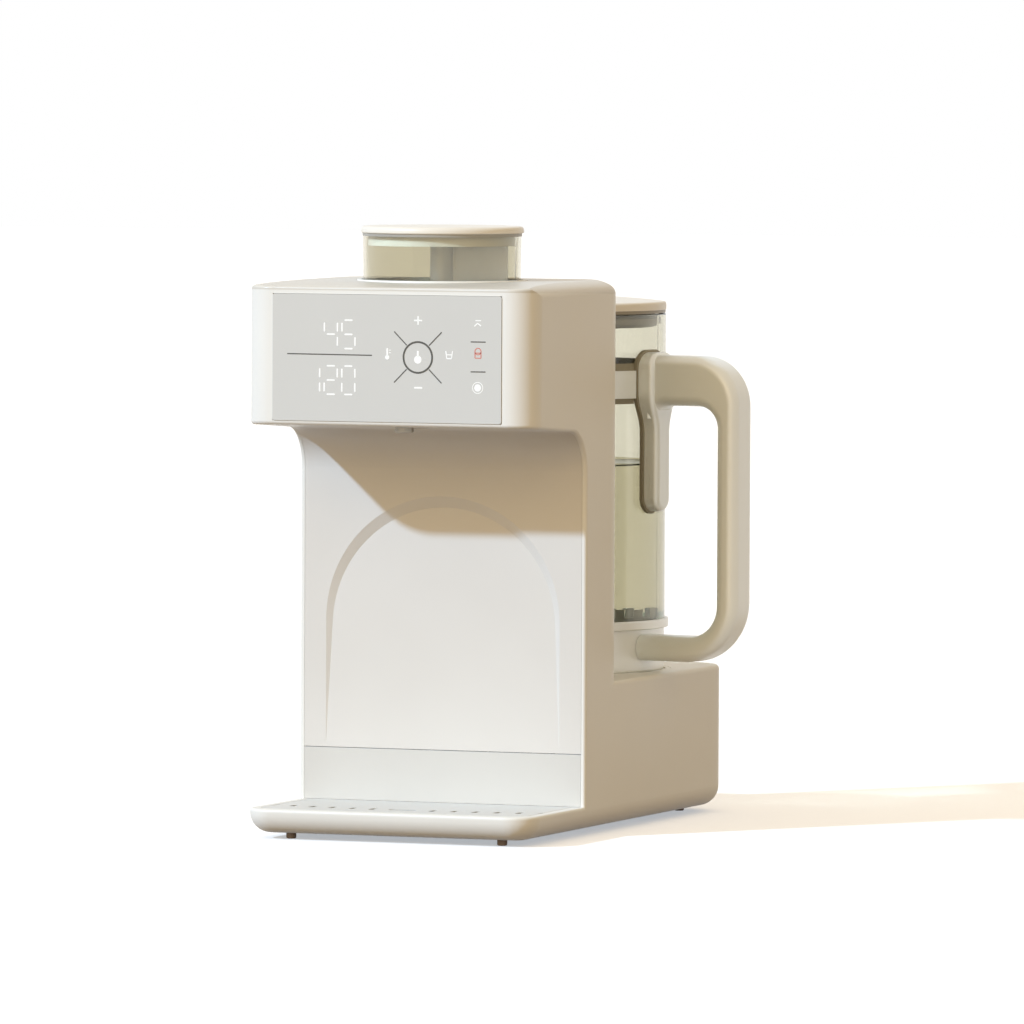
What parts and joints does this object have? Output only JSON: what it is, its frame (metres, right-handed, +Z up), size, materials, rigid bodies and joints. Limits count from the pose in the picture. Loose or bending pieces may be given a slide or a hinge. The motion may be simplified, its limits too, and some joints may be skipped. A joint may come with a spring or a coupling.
{
  "type": "baby formula maker",
  "caption": "Countertop machine that heats water in a lift-off glass kettle and doses milk powder from a clear canister into a bottle.",
  "frame": {"origin": "centre of the underside of the base plate, 3.3 mm above the surface that the feet stand on", "axes": "+X to the right of a person facing the machine, +Y from its front to its back, +Z up"},
  "size_m": [0.21, 0.3115, 0.3247],
  "materials": {
    "cream_body": "satin moulded plastic",
    "tray_plastic": "satin moulded plastic",
    "rubber": "matt",
    "zinc": "zinc plated",
    "splash": "satin moulded plastic",
    "cream_cover": "satin moulded plastic",
    "touch_panel": "gloss, printed from behind",
    "board": "solder-resist green",
    "white_plastic": "satin moulded plastic",
    "clear_plastic": "clear moulded plastic",
    "acetal": "natural acetal",
    "stirrer_plastic": "translucent moulded plastic",
    "seal": "translucent silicone",
    "brass": "plated",
    "steel": "brushed",
    "silicone": "translucent silicone hose",
    "black_plastic": "fine texture",
    "grey_rubber": "matt",
    "glass": "clear borosilicate glass",
    "handle_plastic": "satin moulded plastic",
    "dark_plastic": "satin moulded plastic",
    "display_light": "window in the print, lit from behind",
    "print_ink": "screen-printed grey ink",
    "water": "clear water"
  },
  "bodies": {
    "machine": {"main_housing": "cream_body", "base_plate": "tray_plastic", "rubber_feet": "rubber", "base_screws": "zinc", "splash_panel": "splash", "lower_front_panel": "splash", "head_top_cover": "cream_cover", "touch_plate": "touch_panel", "touch_board": "board", "canister_well": "cream_body", "motor_plate": "steel", "gear_motor": "zinc", "powder_chute": "white_plastic", "water_nozzle": "steel", "suction_hose": "silicone", "riser_hose": "silicone", "water_pump": "black_plastic", "pump_cradle": "grey_rubber", "outlet_port": "white_plastic", "port_seal": "seal", "valve_solenoid": "zinc", "kettle_seat": "cream_body", "coupler_base": "black_plastic", "control_board": "board", "board_parts": "black_plastic", "power_inlet": "black_plastic", "inlet_pins": "brass"},
    "drip_tray": {"drip_tray": "tray_plastic"},
    "drip_grid": {"drip_grid": "tray_plastic"},
    "canister": {"powder_canister": "clear_plastic", "canister_base": "white_plastic"},
    "canister_lid": {"canister_lid": "cream_cover", "lid_seal": "seal"},
    "dosing_rotor": {"dosing_wheel": "acetal", "powder_stirrer": "stirrer_plastic"},
    "drive_gear": {"drive_gear": "acetal"},
    "motor_pinion": {"motor_pinion": "brass"},
    "kettle": {"kettle_glass": "glass", "lower_ring": "white_plastic", "base_cup": "cream_body", "glass_seal": "seal", "heating_plate": "steel", "heating_element": "zinc", "kettle_coupler": "black_plastic", "outlet_tube": "white_plastic", "poppet_spring": "steel", "outlet_strainer": "white_plastic", "handle": "handle_plastic", "handle_screws": "zinc", "handle_pad": "dark_plastic", "handle_band": "handle_plastic", "band_liner": "dark_plastic"},
    "kettle_lid": {"kettle_lid": "cream_cover", "lid_plug": "dark_plastic", "lid_gasket": "seal"},
    "valve_poppet": {"valve_poppet": "grey_rubber"},
    "push_rod": {"push_rod": "steel"}
  },
  "joints": [
    {"name": "kettle_lift", "type": "slide", "parent": "machine", "child": "kettle", "axis": [0, 0, 1], "range_m": [0, 0.12]},
    {"name": "kettle_lid_lift", "type": "slide", "parent": "kettle", "child": "kettle_lid", "axis": [0, 0, 1], "range_m": [0, 0.04]},
    {"name": "valve_poppet_lift", "type": "slide", "parent": "kettle", "child": "valve_poppet", "axis": [0, 0, 1], "range_m": [0, 0.0035], "stiffness_N_per_m": 40, "springref_m": -0.005, "deforming": ["poppet_spring"]},
    {"name": "push_rod_lift", "type": "slide", "parent": "machine", "child": "push_rod", "axis": [0, 0, 1], "range_m": [0, 0.0035]},
    {"name": "canister_lift", "type": "slide", "parent": "machine", "child": "canister", "axis": [0, 0, 1], "range_m": [0, 0.05]},
    {"name": "canister_lid_lift", "type": "slide", "parent": "canister", "child": "canister_lid", "axis": [0, 0, 1], "range_m": [0, 0.03]},
    {"name": "drive_gear_turn", "type": "hinge", "parent": "machine", "child": "drive_gear", "pos_m": [0, -0.076, 0.25], "axis": [0, 0, 1], "continuous": true},
    {"name": "motor_pinion_turn", "type": "hinge", "parent": "machine", "child": "motor_pinion", "pos_m": [0, -0.055, 0.25], "axis": [0, 0, 1], "continuous": true},
    {"name": "dosing_rotor_turn", "type": "hinge", "parent": "canister", "child": "dosing_rotor", "pos_m": [0, -0.076, 0.27], "axis": [0, 0, 1], "continuous": true},
    {"name": "drip_tray_lift", "type": "slide", "parent": "machine", "child": "drip_tray", "axis": [0, 0, 1], "range_m": [0, 0.03]},
    {"name": "drip_grid_lift", "type": "slide", "parent": "drip_tray", "child": "drip_grid", "axis": [0, 0, 1], "range_m": [0, 0.02]}
  ],
  "couplings": [
    {"joint": "motor_pinion_turn", "follows": "drive_gear_turn", "ratio": -2.5},
    {"joint": "dosing_rotor_turn", "follows": "drive_gear_turn", "ratio": 1},
    {"joint": "valve_poppet_lift", "follows": "push_rod_lift", "ratio": 1}
  ]
}
